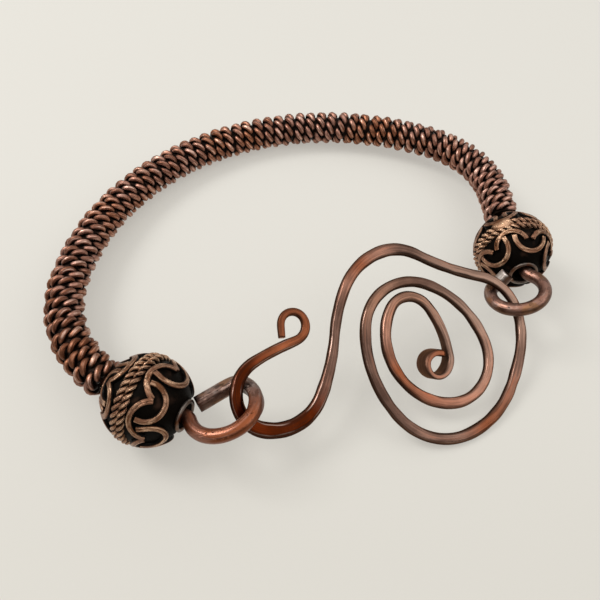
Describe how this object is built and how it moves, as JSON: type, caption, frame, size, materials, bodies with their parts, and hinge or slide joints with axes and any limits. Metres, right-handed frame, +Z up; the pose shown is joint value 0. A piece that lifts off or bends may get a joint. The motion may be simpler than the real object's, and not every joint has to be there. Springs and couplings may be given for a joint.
{
  "type": "wire bracelet",
  "caption": "Copper wire bracelet: a coil-wrapped ring with a filigree bead and an eye at each end, closed by a hammered spiral hook.",
  "frame": {"origin": "middle of the bracelet's outline, on the table it lies on", "axes": "+X from the left bead to the right bead, +Y from the clasp to the back of the coil, +Z up from the table"},
  "size_m": [0.0798, 0.0697, 0.0126],
  "materials": {
    "core_copper": "antiqued copper, softly polished",
    "coil_copper": "antiqued copper, dark between the strands",
    "bead_copper": "blackened copper with rubbed wires",
    "clasp_copper": "hammered and antiqued copper"
  },
  "bodies": {
    "root": {"core_wire": "core_copper", "wire_coil": "coil_copper", "bead_left": "bead_copper", "bead_right": "bead_copper", "clasp": "clasp_copper"}
  },
  "joints": []
}
